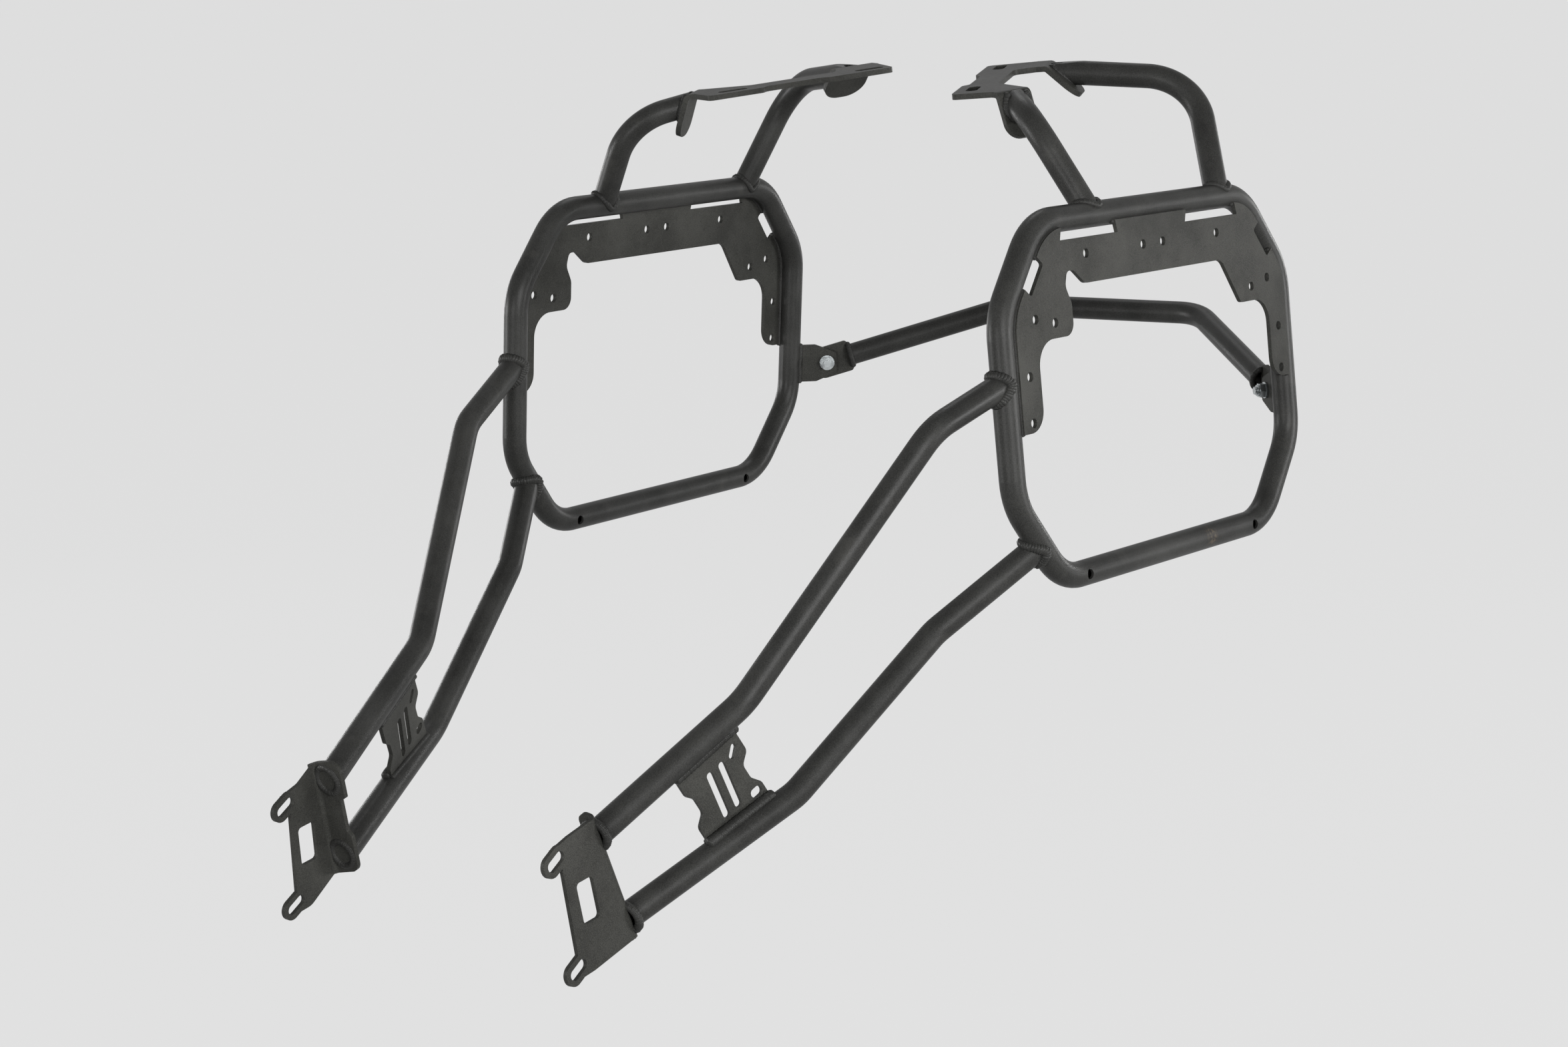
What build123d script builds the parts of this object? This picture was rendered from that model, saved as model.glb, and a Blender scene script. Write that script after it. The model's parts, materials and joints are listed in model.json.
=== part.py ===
from build123d import *
import os
from math import atan2, cos, degrees, radians, sin, tan

os.makedirs("parts", exist_ok=True)

# A pair of pannier frames for a motorcycle: two welded side frames and a bolted rear cross brace.
# Row frame: X across the machine (+X is its left side), +Y to the rear, +Z up. All sizes in mm.

# Round tube, the same everywhere
TUBE_OD = 18.0
TUBE_WALL = 2.0
BEND_R = 45.0
WELD_GAP = 0.2

# Where the left hoop's centre sits, and how its plane leans out at the foot and toes out at the rear
HOOP_X = 226.8
HOOP_Y = 176.4
HOOP_Z = -61.0
HOOP_LEAN = 4.5
HOOP_TOE = 1.9

# Hoop, axis to axis, with four sloped corners
HOOP_LENGTH = 354.0
HOOP_HEIGHT = 242.0
CORNER_RUN = 46.5
CORNER_RISE = 58.5
BAR_HOLE_D = 7.0
BAR_HOLE_SPAN = 216.0

# Pannier plate, a sheet inside the hoop close to its outer side
PLATE_T = 3.0
PLATE_SET = 6.5
PLATE_INSET = 5.4
PLATE_LEG_W = 29.0
PLATE_LEG_FOOT = 138.0
PLATE_LEG_R = 15.0
PLATE_BAND = 45.0
PLATE_PAD_DROP = 78.4
PLATE_PAD_REACH = 72.0
PLATE_REAR_PAD_REACH = 66.5
PLATE_HOLE_D = 6.6
CENTRE_HOLE_U = 12.5
BAND_HOLE_U = 83.5
BAND_HOLE_DROP = 25.0
PAD_OUTER_HOLE_IN = 28.5
PAD_OUTER_HOLE_DROP = 63.5
PAD_INNER_HOLE_IN = 51.0
PAD_INNER_HOLE_DROP = 68.0
LEG_HOLE_IN = 17.0
LEG_HOLE_DROP = 100.5
LEG_HOLE_PITCH = 31.0
HOOK_DEPTH = 10.0
HOOK_W = 13.0
TOP_GAP_FROM = 47.0
TOP_GAP_TO = 109.0
GAP_DEPTH = 14.0
SLANT_GAP_L = 26.0

# Stays from the top bar up to the top plate: place along the bar, then the bend
LEFT_FRONT_STAY_U = -61.0
RIGHT_FRONT_STAY_U = -76.0
FRONT_BEND_FWD = 12.2
FRONT_BEND_UP = 66.7
FRONT_BEND_IN = 33.0
REAR_STAY_U = 103.5
REAR_BEND_BACK = 28.3
REAR_BEND_UP = 86.5
REAR_BEND_IN = 28.8

# Top plate: place of its front slot, slope up to the rear, then sizes along and across the line of slots
TOP_X = 109.0
TOP_Y = 133.1
TOP_Z = 144.7
TOP_SLOPE = 5.8
TOP_SWING = 24.3
TOP_T = 4.0
SLOT_STEP = 118.5
TOP_SLOT_L = 24.0
TOP_SLOT_W = 8.5
TOP_INNER = 11.5
TOP_OUTER = 14.0
TOP_FRONT_END = 25.0
TOP_REAR_END = 15.0
WAIST_FROM = 26.0
WAIST_TO = 72.0
WAIST_DEPTH = 4.5
FOLD_R = 2.0

# Front and rear tabs of the top plate: fold place, width, length and angle below the plate
FRONT_TAB_S = -22.0
LEFT_TAB_OUT = 32.5
RIGHT_TAB_OUT = 29.0
FRONT_TAB_TURN = 47.0
FRONT_TAB_W = 27.0
FRONT_TAB_L = 34.0
FRONT_TAB_FOLD = 69.0
FRONT_TAB_SEAT = 10.5
REAR_TAB_S = 123.0
REAR_TAB_OUT = 37.0
REAR_TAB_W = 36.0
REAR_TAB_L = 33.0
REAR_TAB_FOLD = 44.0
REAR_TAB_SEAT = 10.0

# Arms from the hoop forward and down to the footrest bracket, left side
LEFT_UPPER_START = 18.2
LEFT_UPPER_KNEE = (-242.0, -3.3, -12.0)
LEFT_UPPER_ELBOW = (-372.4, -160.5, -83.2)
LEFT_LOWER_START = 40.5
LEFT_LOWER_KNEE = (-226.3, -140.8, -37.9)
LEFT_LOWER_ELBOW = (-344.5, -225.6, -70.4)

# Arms, right side, which clear the silencer by a lower knee
RIGHT_UPPER_START = 9.4
RIGHT_UPPER_KNEE = (-246.2, -25.2, -13.6)
RIGHT_UPPER_ELBOW = (-370.5, -154.3, -82.8)
RIGHT_LOWER_START = 25.7
RIGHT_LOWER_KNEE = (-224.2, -132.5, -37.3)
RIGHT_LOWER_ELBOW = (-344.0, -224.0, -70.3)

# Where the arms meet the bracket's flange, from the top of its fold, and how far inboard of its outer face
LEFT_UPPER_SEAT = 13.1
LEFT_LOWER_SEAT = 73.9
LEFT_ARM_INSET = 5.5
RIGHT_UPPER_SEAT = 10.7
RIGHT_LOWER_SEAT = 67.2
RIGHT_ARM_INSET = 12.0

# Gusset plate between the straight front runs of the two arms
GUSSET_T = 3.0
GUSSET_SET = 4.0
LEFT_GUSSET_AT = 43.0
LEFT_GUSSET_TURN = 0.0
RIGHT_GUSSET_AT = 50.5
RIGHT_GUSSET_TURN = 7.5
GUSSET_L = 57.0
GUSSET_WAVE = 8.0
GUSSET_SLOT_W = 5.5
GUSSET_SLOT_L = 32.0
GUSSET_SLOT_PITCH = 10.8
GUSSET_SLOT_TURN = 80.0
GUSSET_SLOT_DROP = 2.8
GUSSET_SMALL_SLOT_L = 10.0
GUSSET_SMALL_SLOT_W = 4.0
GUSSET_SMALL_SLOT_TURN = 41.0
GUSSET_SMALL_SLOT_IN = 9.0
GUSSET_SMALL_SLOT_RISE = 13.0
GUSSET_HOLE_L = 9.0
GUSSET_HOLE_W = 6.0
GUSSET_HOLE_IN = 10.1
GUSSET_HOLE_DROP = 19.0

# Footrest bracket: upper slot's centre in the hoop's frame, then sizes from it
FOOT_U = -529.3
FOOT_V = -227.9
FOOT_W = -107.0
FOOT_T = 3.0
FOOT_SLOT_W = 7.2
FOOT_SLOT_L = 16.0
FOOT_SLOT_TURN = 31.0
FOOT_SLOT_DU = 9.6
FOOT_SLOT_DV = -70.2
FOOT_EAR_MARGIN = 3.6
FOOT_SHOULDER = 12.8
FOOT_SHOULDER_RISE = 12.6
FOOT_FOLD_R = 3.0
LEFT_FOLD_DU = 39.8
LEFT_FOLD_DV = 19.4
LEFT_FOLD_TURN = -71.6
LEFT_FOLD_L = 86.5
LEFT_FLANGE_W = 15.0
RIGHT_FOLD_DU = 28.9
RIGHT_FOLD_DV = 24.6
RIGHT_FOLD_TURN = -75.5
RIGHT_FOLD_L = 82.0
RIGHT_FLANGE_W = 26.2
FLANGE_HEAD = 0.6
FLANGE_FOOT = 2.2
FLANGE_SKEW = 0.27
FLANGE_NOTCH = 4.8
FLANGE_LOWER_IN = 1.2
WINDOW_H = 27.0
WINDOW_W = 15.0

# Cross brace behind, its lugs and its end plates
BRACE_SPLAY = 39.5
BRACE_REACH = 192.5
BRACE_RISE = 42.5
LUG_V = -33.7
LUG_T = 4.0
LUG_REACH = 32.0
LUG_HEAD = 8.0
LUG_ROOT_H = 31.0
LUG_HEAD_H = 17.0
END_PLATE_T = 4.0
END_PLATE_W = 26.0
END_PLATE_HEAD = 12.0
END_PLATE_TAIL = 21.0

# M6 bolt, washer and lock nut at each lug
BOLT_D = 6.0
BOLT_CLEARANCE = 0.6
BOLT_HEAD_AF = 10.0
BOLT_HEAD_H = 4.0
BOLT_TIP = 2.0
NUT_AF = 10.0
NUT_H = 6.0
NUT_HEX_H = 4.5
NUT_COLLAR_D = 8.5
WASHER_D = 12.5
WASHER_T = 1.5

BIG = 400.0

lean, toe = radians(HOOP_LEAN), radians(HOOP_TOE)
side = Plane(
    origin=(HOOP_X, HOOP_Y, HOOP_Z),
    x_dir=(sin(toe), cos(toe), 0),
    z_dir=(cos(toe) * cos(lean), -sin(toe) * cos(lean), sin(lean)),
)


def tube(path, bored=True):
    """Tube along a path; without its bore it is the body, with weld gap, that other pieces are coped to."""
    if bored:
        section = Circle(TUBE_OD / 2) - Circle(TUBE_OD / 2 - TUBE_WALL)
    else:
        section = Circle(TUBE_OD / 2 + WELD_GAP)
    return sweep(Plane(origin=path @ 0, z_dir=path % 0) * section, path=path)


def bent(*points, closed=False):
    """Tube axis through the given corners, with the bend radius at each."""
    return FilletPolyline(*points, radius=BEND_R, close=closed)


def outline(*corners):
    """Flat face from (x, y, radius) corners."""
    face = make_face(Polyline(*[(x, y) for x, y, _ in corners], close=True))
    for x, y, radius in corners:
        if radius:
            face = fillet(face.vertices().sort_by_distance((x, y, 0))[0], radius)
    return face


def mirrored(part):
    """The right-hand copy of a left-hand piece."""
    return mirror(part, about=Plane.YZ)


# Hoop
half_l, half_h = HOOP_LENGTH / 2, HOOP_HEIGHT / 2
ring = [
    (-half_l + CORNER_RUN, half_h), (half_l - CORNER_RUN, half_h),
    (half_l, half_h - CORNER_RISE), (half_l, -half_h + CORNER_RISE),
    (half_l - CORNER_RUN, -half_h), (-half_l + CORNER_RUN, -half_h),
    (-half_l, -half_h + CORNER_RISE), (-half_l, half_h - CORNER_RISE),
]
hoop_path = bent(*ring, closed=True)
hoop_body = tube(hoop_path, bored=False)
hoop = tube(hoop_path)
for u in (-BAR_HOLE_SPAN / 2, BAR_HOLE_SPAN / 2):
    hoop -= Pos(u, -half_h) * Cylinder(BAR_HOLE_D / 2, TUBE_OD + 2)

# Pannier plate
corner_turn = degrees(atan2(CORNER_RISE, CORNER_RUN))
slant_mid = (half_l - CORNER_RUN / 2, half_h - CORNER_RISE / 2)
leg_in = half_l - PLATE_LEG_W
pad_v = half_h - PLATE_PAD_DROP
band_v = half_h - PLATE_BAND
pad_u = half_l - PLATE_PAD_REACH
rear_pad_u = half_l - PLATE_REAR_PAD_REACH
sheet = offset(make_face(hoop_path), -PLATE_INSET)
sheet &= Pos(0, half_h - PLATE_LEG_FOOT / 2) * Rectangle(HOOP_LENGTH, PLATE_LEG_FOOT)
sheet -= outline(
    (-leg_in, -half_h, 0), (-leg_in, pad_v, 18), (-pad_u, pad_v, 9), (-pad_u, band_v - 12, 9),
    (-pad_u - 6, band_v, 8), (-pad_u - 3, band_v + HOOK_DEPTH, 4), (-pad_u + 5, band_v + HOOK_DEPTH, 4),
    (-pad_u - 3 + 1.6 * HOOK_W, band_v, 8), (rear_pad_u - 23, band_v, 10), (rear_pad_u, pad_v, 5),
    (leg_in, pad_v, 18), (leg_in, -half_h, 0),
)
foot = half_h - PLATE_LEG_FOOT
for u in (-leg_in, leg_in):
    sheet = fillet(sheet.vertices().sort_by_distance((u, foot, 0))[0], PLATE_LEG_R)
gap_w = TOP_GAP_TO - TOP_GAP_FROM
for hand in (-1, 1):
    sheet -= Pos(hand * (TOP_GAP_FROM + gap_w / 2), half_h) * Trapezoid(gap_w + 8, 2 * GAP_DEPTH, 75)
    sheet -= Pos(hand * slant_mid[0], slant_mid[1]) * Rot(0, 0, -hand * corner_turn) * RectangleRounded(
        SLANT_GAP_L, 2 * GAP_DEPTH, 2)
leg_hole_u = half_l - LEG_HOLE_IN
plate_holes = [
    (CENTRE_HOLE_U, BAND_HOLE_DROP), (BAND_HOLE_U, BAND_HOLE_DROP),
    (half_l - PAD_OUTER_HOLE_IN, PAD_OUTER_HOLE_DROP), (half_l - PAD_INNER_HOLE_IN, PAD_INNER_HOLE_DROP),
    (leg_hole_u, LEG_HOLE_DROP), (leg_hole_u, LEG_HOLE_DROP + LEG_HOLE_PITCH),
]
for u, drop in plate_holes:
    sheet -= Locations((-u, half_h - drop), (u, half_h - drop)) * Circle(PLATE_HOLE_D / 2)
pannier_plate = extrude(Pos(0, 0, PLATE_SET) * sheet, PLATE_T) - hoop_body

# Top plate, in its own frame: x along the line of slots to the rear, y inboard, z up
slope, swing = radians(TOP_SLOPE), radians(TOP_SWING)
top = Plane(
    origin=(TOP_X, TOP_Y, TOP_Z),
    x_dir=(-sin(swing), cos(swing) * cos(slope), cos(swing) * sin(slope)),
    z_dir=(0, -sin(slope), cos(slope)),
)


def tab(frame, width, length, fold):
    """Tab folded down from the top plate, and the place of its outer face, whose x runs along the fold."""
    drop = radians(fold)
    corner = TOP_T / 2 * tan(drop / 2)
    bend = FilletPolyline(
        (3 * TOP_T, -TOP_T / 2), (corner, -TOP_T / 2),
        (corner - length * cos(drop), -TOP_T / 2 - length * sin(drop)), radius=FOLD_R + TOP_T / 2)
    strip = extrude(Plane.YZ * trace(bend, TOP_T), width / 2, both=True)
    face = Plane(origin=(0, 0, 0), x_dir=(1, 0, 0), z_dir=(0, -sin(drop), cos(drop)))
    tongue = extrude(face * outline(
        (-width / 2, 5 * TOP_T, 0), (width / 2, 5 * TOP_T, 0),
        (width / 2, -length, 0.42 * width), (-width / 2, -length, 0.42 * width)), 3 * TOP_T, both=True)
    return frame * (strip & tongue), frame * face.location


rear_fold = Location((REAR_TAB_S, -REAR_TAB_OUT, 0))
rear_tab, rear_face = tab(rear_fold, REAR_TAB_W, REAR_TAB_L, REAR_TAB_FOLD)


def top_plate(front_out):
    """Flat plate with its waist, slots and two tabs, and the place of the front tab's outer face."""
    front_fold = Location((FRONT_TAB_S, -front_out, 0), (0, 0, -FRONT_TAB_TURN))
    front_tab, front_face = tab(front_fold, FRONT_TAB_W, FRONT_TAB_L, FRONT_TAB_FOLD)
    folds = []
    for fold, x in ((rear_fold, REAR_TAB_W / 2), (rear_fold, -REAR_TAB_W / 2),
                    (front_fold, FRONT_TAB_W / 2), (front_fold, -FRONT_TAB_W / 2)):
        at = (fold * Pos(x, 2 * TOP_T)).position
        folds.append((at.X, at.Y, 0))
    flat = outline(
        (-TOP_FRONT_END, TOP_INNER, 4), (WAIST_FROM - 6, TOP_INNER, 4),
        (WAIST_FROM, TOP_INNER - WAIST_DEPTH, 4), (WAIST_TO, TOP_INNER - WAIST_DEPTH, 4),
        (WAIST_TO + 6, TOP_INNER, 4), (SLOT_STEP + TOP_REAR_END, TOP_INNER, 5), folds[0], folds[1],
        (folds[1][0] - 8, -TOP_OUTER, 8), (folds[2][0] + 30, -TOP_OUTER, 8), folds[2], folds[3],
    )
    flat -= Locations((0, 0), (SLOT_STEP, 0)) * SlotOverall(TOP_SLOT_L, TOP_SLOT_W)
    return extrude(flat, -TOP_T) + front_tab + rear_tab, front_face


left_top, left_front_face = top_plate(LEFT_TAB_OUT)
right_top, right_front_face = top_plate(RIGHT_TAB_OUT)

# Stays, in the hoop's frame, cut off on the outer faces of the top plate's tabs
into_side = side.location.inverse() * top.location


def stay(foot_u, bend_u, bend_up, bend_in, seat, seat_drop):
    """Stay from the top bar through one bend to a tab's outer face, dressed flush with the plate's top."""
    knee = Vector(bend_u, half_h + bend_up, -bend_in)
    end = (seat * Pos(0, -seat_drop, 0)).position
    path = bent((foot_u, half_h, 0), knee, end + (end - knee).normalized() * 2 * TUBE_OD)
    off = seat * Box(BIG, BIG, BIG, align=(Align.CENTER, Align.CENTER, Align.MAX))
    above = into_side * Pos(0, 0, -WELD_GAP) * Box(
        BIG, BIG, BIG, align=(Align.CENTER, Align.CENTER, Align.MIN))
    return tube(path) - hoop_body - off - above


front_stays = [
    stay(foot_u, foot_u - FRONT_BEND_FWD, FRONT_BEND_UP, FRONT_BEND_IN, into_side * face, FRONT_TAB_SEAT)
    for foot_u, face in ((LEFT_FRONT_STAY_U, left_front_face), (RIGHT_FRONT_STAY_U, right_front_face))
]
rear_stay = stay(REAR_STAY_U, REAR_STAY_U + REAR_BEND_BACK, REAR_BEND_UP, REAR_BEND_IN,
                 into_side * rear_face, REAR_TAB_SEAT)

# Footrest bracket, in the hoop's frame: a sheet folded inboard along its rear edge
lower_u, lower_v = FOOT_U + FOOT_SLOT_DU, FOOT_V + FOOT_SLOT_DV
ear_r = FOOT_SLOT_W / 2 + FOOT_EAR_MARGIN


def flange_plane(fold_du, fold_dv, fold_turn):
    """Rear face of the bracket's flange: x down along the fold, y inboard, z to the rear."""
    start = (FOOT_U + fold_du, FOOT_V + fold_dv, FOOT_W)
    along = Vector(cos(radians(fold_turn)), sin(radians(fold_turn)), 0)
    return Plane(origin=start, x_dir=along, z_dir=(-along.Y, along.X, 0))


def footrest_bracket(flange, fold_l, width):
    """Folded bracket: an angle bar cut to the slotted outline of its web and the outline of its flange."""
    run = FilletPolyline((-fold_l, FOOT_T / 2), (-FOOT_T / 2, FOOT_T / 2), (-FOOT_T / 2, 2 * width),
                         radius=FOOT_FOLD_R + FOOT_T / 2)
    across = Plane(origin=flange.origin, x_dir=flange.z_dir, z_dir=-flange.x_dir)
    angle_bar = extrude(across * trace(run, FOOT_T), 2 * fold_l, both=True)
    fold_end = flange.origin + flange.x_dir * fold_l
    face = outline(
        (flange.origin.X, flange.origin.Y, 0), (FOOT_U + FOOT_SHOULDER, FOOT_V + FOOT_SHOULDER_RISE, 8),
        (FOOT_U - 2.5, FOOT_V + ear_r, 0), (FOOT_U + 4.6, FOOT_V - 4, 0),
        (lower_u + 1, lower_v + ear_r, 0), (lower_u + 1, lower_v - ear_r + 1, 0),
        (lower_u + 14, lower_v - 4, 12), (fold_end.X, fold_end.Y, 0),
    )
    ears = Locations((FOOT_U, FOOT_V), (lower_u, lower_v))
    face += ears * SlotOverall(FOOT_SLOT_L + 2 * FOOT_EAR_MARGIN, 2 * ear_r, FOOT_SLOT_TURN)
    face -= ears * SlotOverall(FOOT_SLOT_L, FOOT_SLOT_W, FOOT_SLOT_TURN)
    middle = (flange.origin.X - FOOT_U) / 3 + 6
    face -= Pos((FOOT_U + lower_u) / 2 + middle, (FOOT_V + lower_v) / 2 + 5) * RectangleRounded(
        WINDOW_W, WINDOW_H, 3, 8)
    depth = FOOT_T + FOOT_FOLD_R + 1
    web = Pos(0, 0, FOOT_W + 1) * extrude(face, -depth)
    lower_w = width - FLANGE_LOWER_IN
    wing = extrude(flange * Pos(0, 0, 1) * outline(
        (0, -1, 0), (0, 1, 0), (-FLANGE_HEAD, 3.5, 1),
        (-FLANGE_HEAD - FLANGE_SKEW * (width - 3.5), width, 0.25 * width + 2),
        (0.26 * fold_l, width, 1.5), (0.285 * fold_l, width - FLANGE_NOTCH, 2),
        (0.58 * fold_l, width - FLANGE_NOTCH, 3), (0.62 * fold_l, lower_w, 3),
        (fold_l + FLANGE_FOOT - FLANGE_SKEW * lower_w, lower_w, 0.25 * width + 1),
        (fold_l + FLANGE_FOOT, 3.5, 1), (fold_l, 1, 0), (fold_l, -1, 0)), -depth)
    return angle_bar & (web + wing)


# Arms, in the hoop's frame, coped to the hoop and cut off on the flange's rear face
slant = Vector(CORNER_RUN, -CORNER_RISE, 0).normalized()
corner = Vector(-half_l, -half_h + CORNER_RISE, 0)


def arm_path(start, knee, elbow, flange, seat, inset):
    """Axis of an arm, run on past the flange so that the cut there is clean."""
    end = (flange.location * Pos(seat, inset, 0)).position
    return bent(start, knee, elbow, end + (end - Vector(*elbow)).normalized() * TUBE_OD)


def arm(path, flange):
    """Arm tube with both ends trimmed."""
    beyond = flange.location * Box(BIG, BIG, BIG, align=(Align.CENTER, Align.CENTER, Align.MAX))
    return tube(path) - hoop_body - beyond


def gusset(upper, lower, upper_elbow, lower_elbow, place, turn):
    """Sheet between two arms in the plane of their front runs, a little inboard of their axes."""
    run = (upper @ 1 - Vector(*upper_elbow)).normalized()
    down = Vector(*lower_elbow) - Vector(*upper_elbow)
    plane = Plane(origin=upper_elbow, x_dir=run, z_dir=run.cross(down))
    near = plane.to_local_coords(Vector(*lower_elbow))
    far = plane.to_local_coords(lower @ 1)
    half = (near.Y + (place - near.X) * (far.Y - near.Y) / (far.X - near.X)) / 2
    end = GUSSET_L / 2
    shape = outline(
        (-end, -half, 0), (-end, -7, 5), (GUSSET_WAVE - end, -1, 5), (GUSSET_WAVE - end, 9, 4),
        (3 - end, 16, 5), (3 - end, half, 0), (end, half, 0), (end, 11, 5), (end - GUSSET_WAVE, 5, 5),
        (end - GUSSET_WAVE, -6, 4), (end - 4, -11, 5), (end - 4, -half, 0),
    )
    for x in (-0.52 * GUSSET_SLOT_PITCH, 0.48 * GUSSET_SLOT_PITCH):
        shape -= Pos(x, GUSSET_SLOT_DROP) * SlotOverall(GUSSET_SLOT_L, GUSSET_SLOT_W, GUSSET_SLOT_TURN)
    shape -= Pos(GUSSET_SMALL_SLOT_IN - end, -GUSSET_SMALL_SLOT_RISE) * SlotOverall(
        GUSSET_SMALL_SLOT_L, GUSSET_SMALL_SLOT_W, GUSSET_SMALL_SLOT_TURN)
    shape -= Pos(GUSSET_HOLE_IN - end, GUSSET_HOLE_DROP) * SlotOverall(GUSSET_HOLE_L, GUSSET_HOLE_W)
    blank = Pos(place, half, -GUSSET_SET) * Rot(0, 0, turn) * extrude(shape, GUSSET_T / 2, both=True)
    return plane.location * blank - tube(upper, bored=False) - tube(lower, bored=False)


left_flange = flange_plane(LEFT_FOLD_DU, LEFT_FOLD_DV, LEFT_FOLD_TURN)
left_upper = arm_path((-half_l, LEFT_UPPER_START, 0), LEFT_UPPER_KNEE, LEFT_UPPER_ELBOW,
                      left_flange, LEFT_UPPER_SEAT, LEFT_ARM_INSET)
left_lower = arm_path(corner + slant * LEFT_LOWER_START, LEFT_LOWER_KNEE, LEFT_LOWER_ELBOW,
                      left_flange, LEFT_LOWER_SEAT, LEFT_ARM_INSET)
left_gusset = gusset(left_upper, left_lower, LEFT_UPPER_ELBOW, LEFT_LOWER_ELBOW,
                     LEFT_GUSSET_AT, LEFT_GUSSET_TURN)
right_flange = flange_plane(RIGHT_FOLD_DU, RIGHT_FOLD_DV, RIGHT_FOLD_TURN)
right_upper = arm_path((-half_l, RIGHT_UPPER_START, 0), RIGHT_UPPER_KNEE, RIGHT_UPPER_ELBOW,
                       right_flange, RIGHT_UPPER_SEAT, RIGHT_ARM_INSET)
right_lower = arm_path(corner + slant * RIGHT_LOWER_START, RIGHT_LOWER_KNEE, RIGHT_LOWER_ELBOW,
                       right_flange, RIGHT_LOWER_SEAT, RIGHT_ARM_INSET)
right_gusset = gusset(right_upper, right_lower, RIGHT_UPPER_ELBOW, RIGHT_LOWER_ELBOW,
                      RIGHT_GUSSET_AT, RIGHT_GUSSET_TURN)

# Brace lug, in its own frame: x from the rear upright's axis towards the brace, y up, z away from the nut
splay = radians(BRACE_SPLAY)
lug = Plane(origin=side.from_local_coords(Vector(half_l, LUG_V, 0)), x_dir=(-cos(splay), sin(splay), 0),
            z_dir=(sin(splay), cos(splay), 0))
bolt_hole = Circle((BOLT_D + BOLT_CLEARANCE) / 2)
lug_end = LUG_REACH + LUG_HEAD
lug_face = outline(
    (0, -LUG_ROOT_H / 2, 0), (0.7 * LUG_REACH, -LUG_ROOT_H / 2, 5), (lug_end, -LUG_HEAD_H / 2, 3),
    (lug_end, LUG_HEAD_H / 2, 3), (0.7 * LUG_REACH, LUG_ROOT_H / 2, 5), (0, LUG_ROOT_H / 2, 0),
) - Pos(LUG_REACH, 0) * bolt_hole
brace_lug = lug.location * extrude(lug_face, LUG_T / 2, both=True) - side.location * hoop_body

# Brace: the end plate lies against the lug, and the tube's axis runs in the plate's middle plane
leg_turn = degrees(atan2(BRACE_RISE, BRACE_REACH - LUG_REACH))
leg_set = (LUG_T + END_PLATE_T) / 2
leg = lug.location * Location((LUG_REACH, 0, leg_set), (0, 0, leg_turn))
end_face = outline(
    (-END_PLATE_HEAD, -END_PLATE_W / 2, 9), (END_PLATE_TAIL, -END_PLATE_W / 2, 3),
    (END_PLATE_TAIL, END_PLATE_W / 2, 3), (-END_PLATE_HEAD, END_PLATE_W / 2, 9),
) - bolt_hole
brace_end_plate = leg * extrude(end_face, END_PLATE_T / 2, both=True)
leg_start = (leg * Pos(END_PLATE_TAIL, 0, 0)).position
leg_bend = (lug.location * Pos(BRACE_REACH, BRACE_RISE, leg_set)).position
brace_tube = tube(bent(leg_start, leg_bend, (-leg_bend.X, leg_bend.Y, leg_bend.Z),
                       (-leg_start.X, leg_start.Y, leg_start.Z)))

# Fasteners: head on the end plate, washer and lock nut on the lug
bolt_place = lug.location * Pos(LUG_REACH, 0, 0)
head_z = LUG_T / 2 + END_PLATE_T
nut_z = -LUG_T / 2 - WASHER_T
hexagon = Pos(0, 0, head_z) * RegularPolygon(BOLT_HEAD_AF / 2, 6, major_radius=False)
bolt_head = extrude(hexagon, BOLT_HEAD_H)
shank = extrude(Pos(0, 0, head_z) * Circle(BOLT_D / 2), -(head_z - nut_z + NUT_H + BOLT_TIP))
bolt = bolt_place * (bolt_head + shank)
washer_face = Circle(WASHER_D / 2) - bolt_hole
washer = bolt_place * extrude(Pos(0, 0, -LUG_T / 2) * washer_face, -WASHER_T)
hexagon = extrude(Pos(0, 0, nut_z) * RegularPolygon(NUT_AF / 2, 6, major_radius=False), -NUT_HEX_H)
collar = extrude(Pos(0, 0, nut_z) * Circle(NUT_COLLAR_D / 2), -NUT_H)
nut = bolt_place * (hexagon + collar - extrude(Pos(0, 0, nut_z) * Circle(BOLT_D / 2), -NUT_H))

# Nodes: left pieces and right pieces, each given on the left and mirrored where it belongs on the right
in_side = {
    "hoop": (hoop, hoop),
    "pannier_plate": (pannier_plate, pannier_plate),
    "front_stay": front_stays,
    "rear_stay": (rear_stay, rear_stay),
    "upper_arm": (arm(left_upper, left_flange), arm(right_upper, right_flange)),
    "lower_arm": (arm(left_lower, left_flange), arm(right_lower, right_flange)),
    "arm_gusset": (left_gusset, right_gusset),
    "footrest_bracket": (footrest_bracket(left_flange, LEFT_FOLD_L, LEFT_FLANGE_W),
                         footrest_bracket(right_flange, RIGHT_FOLD_L, RIGHT_FLANGE_W)),
}
pairs = {name: (side.location * left, side.location * right) for name, (left, right) in in_side.items()}
pairs["top_plate"] = (top.location * left_top, top.location * right_top)
pairs["brace_lug"] = (brace_lug,) * 2
pairs["brace_end_plate"] = (brace_end_plate,) * 2
nodes = {"brace_tube": brace_tube}
for name, (left, right) in pairs.items():
    nodes[name + "_left"] = left
    nodes[name + "_right"] = mirrored(right)
for name, piece in {"brace_bolts": bolt, "brace_washers": washer, "brace_nuts": nut}.items():
    nodes[name] = Compound([piece, mirrored(piece)])

# The row's origin is under the middle of the whole
whole = Compound([piece for piece in nodes.values()]).bounding_box()
to_row = Pos(0, -(whole.min.Y + whole.max.Y) / 2, -whole.min.Z)
for name, piece in nodes.items():
    export_step(to_row * piece, f"parts/{name}.step")
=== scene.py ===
import json
import logging
from dataclasses import dataclass, field
from enum import Enum
from math import radians

import bmesh
import bpy
from mathutils import Matrix, Vector
from mathutils.bvhtree import BVHTree

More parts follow.
